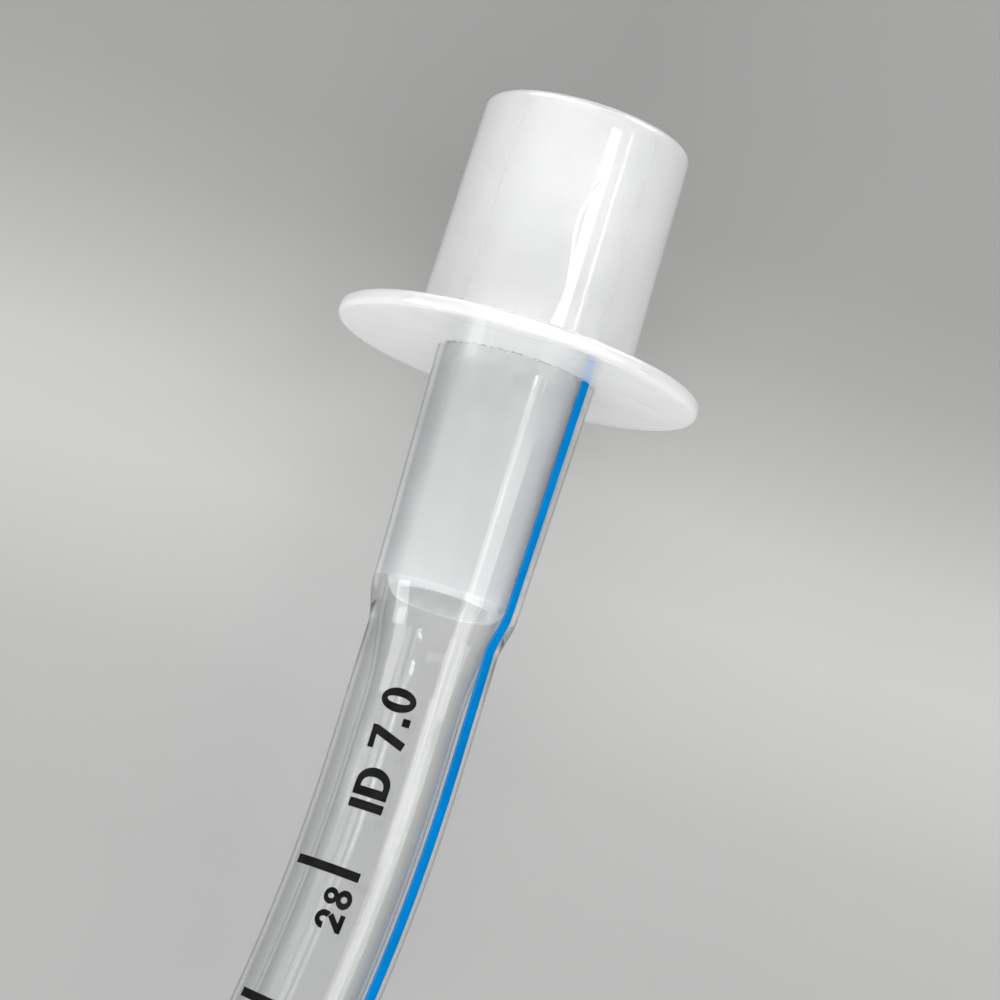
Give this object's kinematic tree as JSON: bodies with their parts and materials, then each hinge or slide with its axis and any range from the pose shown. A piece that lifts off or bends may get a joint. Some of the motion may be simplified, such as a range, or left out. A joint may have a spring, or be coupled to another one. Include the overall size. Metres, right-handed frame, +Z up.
{
  "type": "tracheal tube",
  "caption": "Uncuffed clear plastic tracheal tube with a blue radiopaque line, a bevelled tip with a side eye, and a translucent 15 mm connector.",
  "frame": {"origin": "centre of the bounding box, on the table that the tube lies on", "axes": "+X is the way from the bevelled tip to the connector, +Y is the way the connector's mouth points, to within 4 degrees, +Z is up from the table"},
  "size_m": [0.2192, 0.1916, 0.0264],
  "materials": {
    "connector_plastic": "translucent, milky",
    "clear_tube": "clear, glossy",
    "blue_line": "glossy"
  },
  "bodies": {
    "root": {"connector": "connector_plastic", "tube": "clear_tube", "radiopaque_line": "blue_line"}
  },
  "joints": []
}
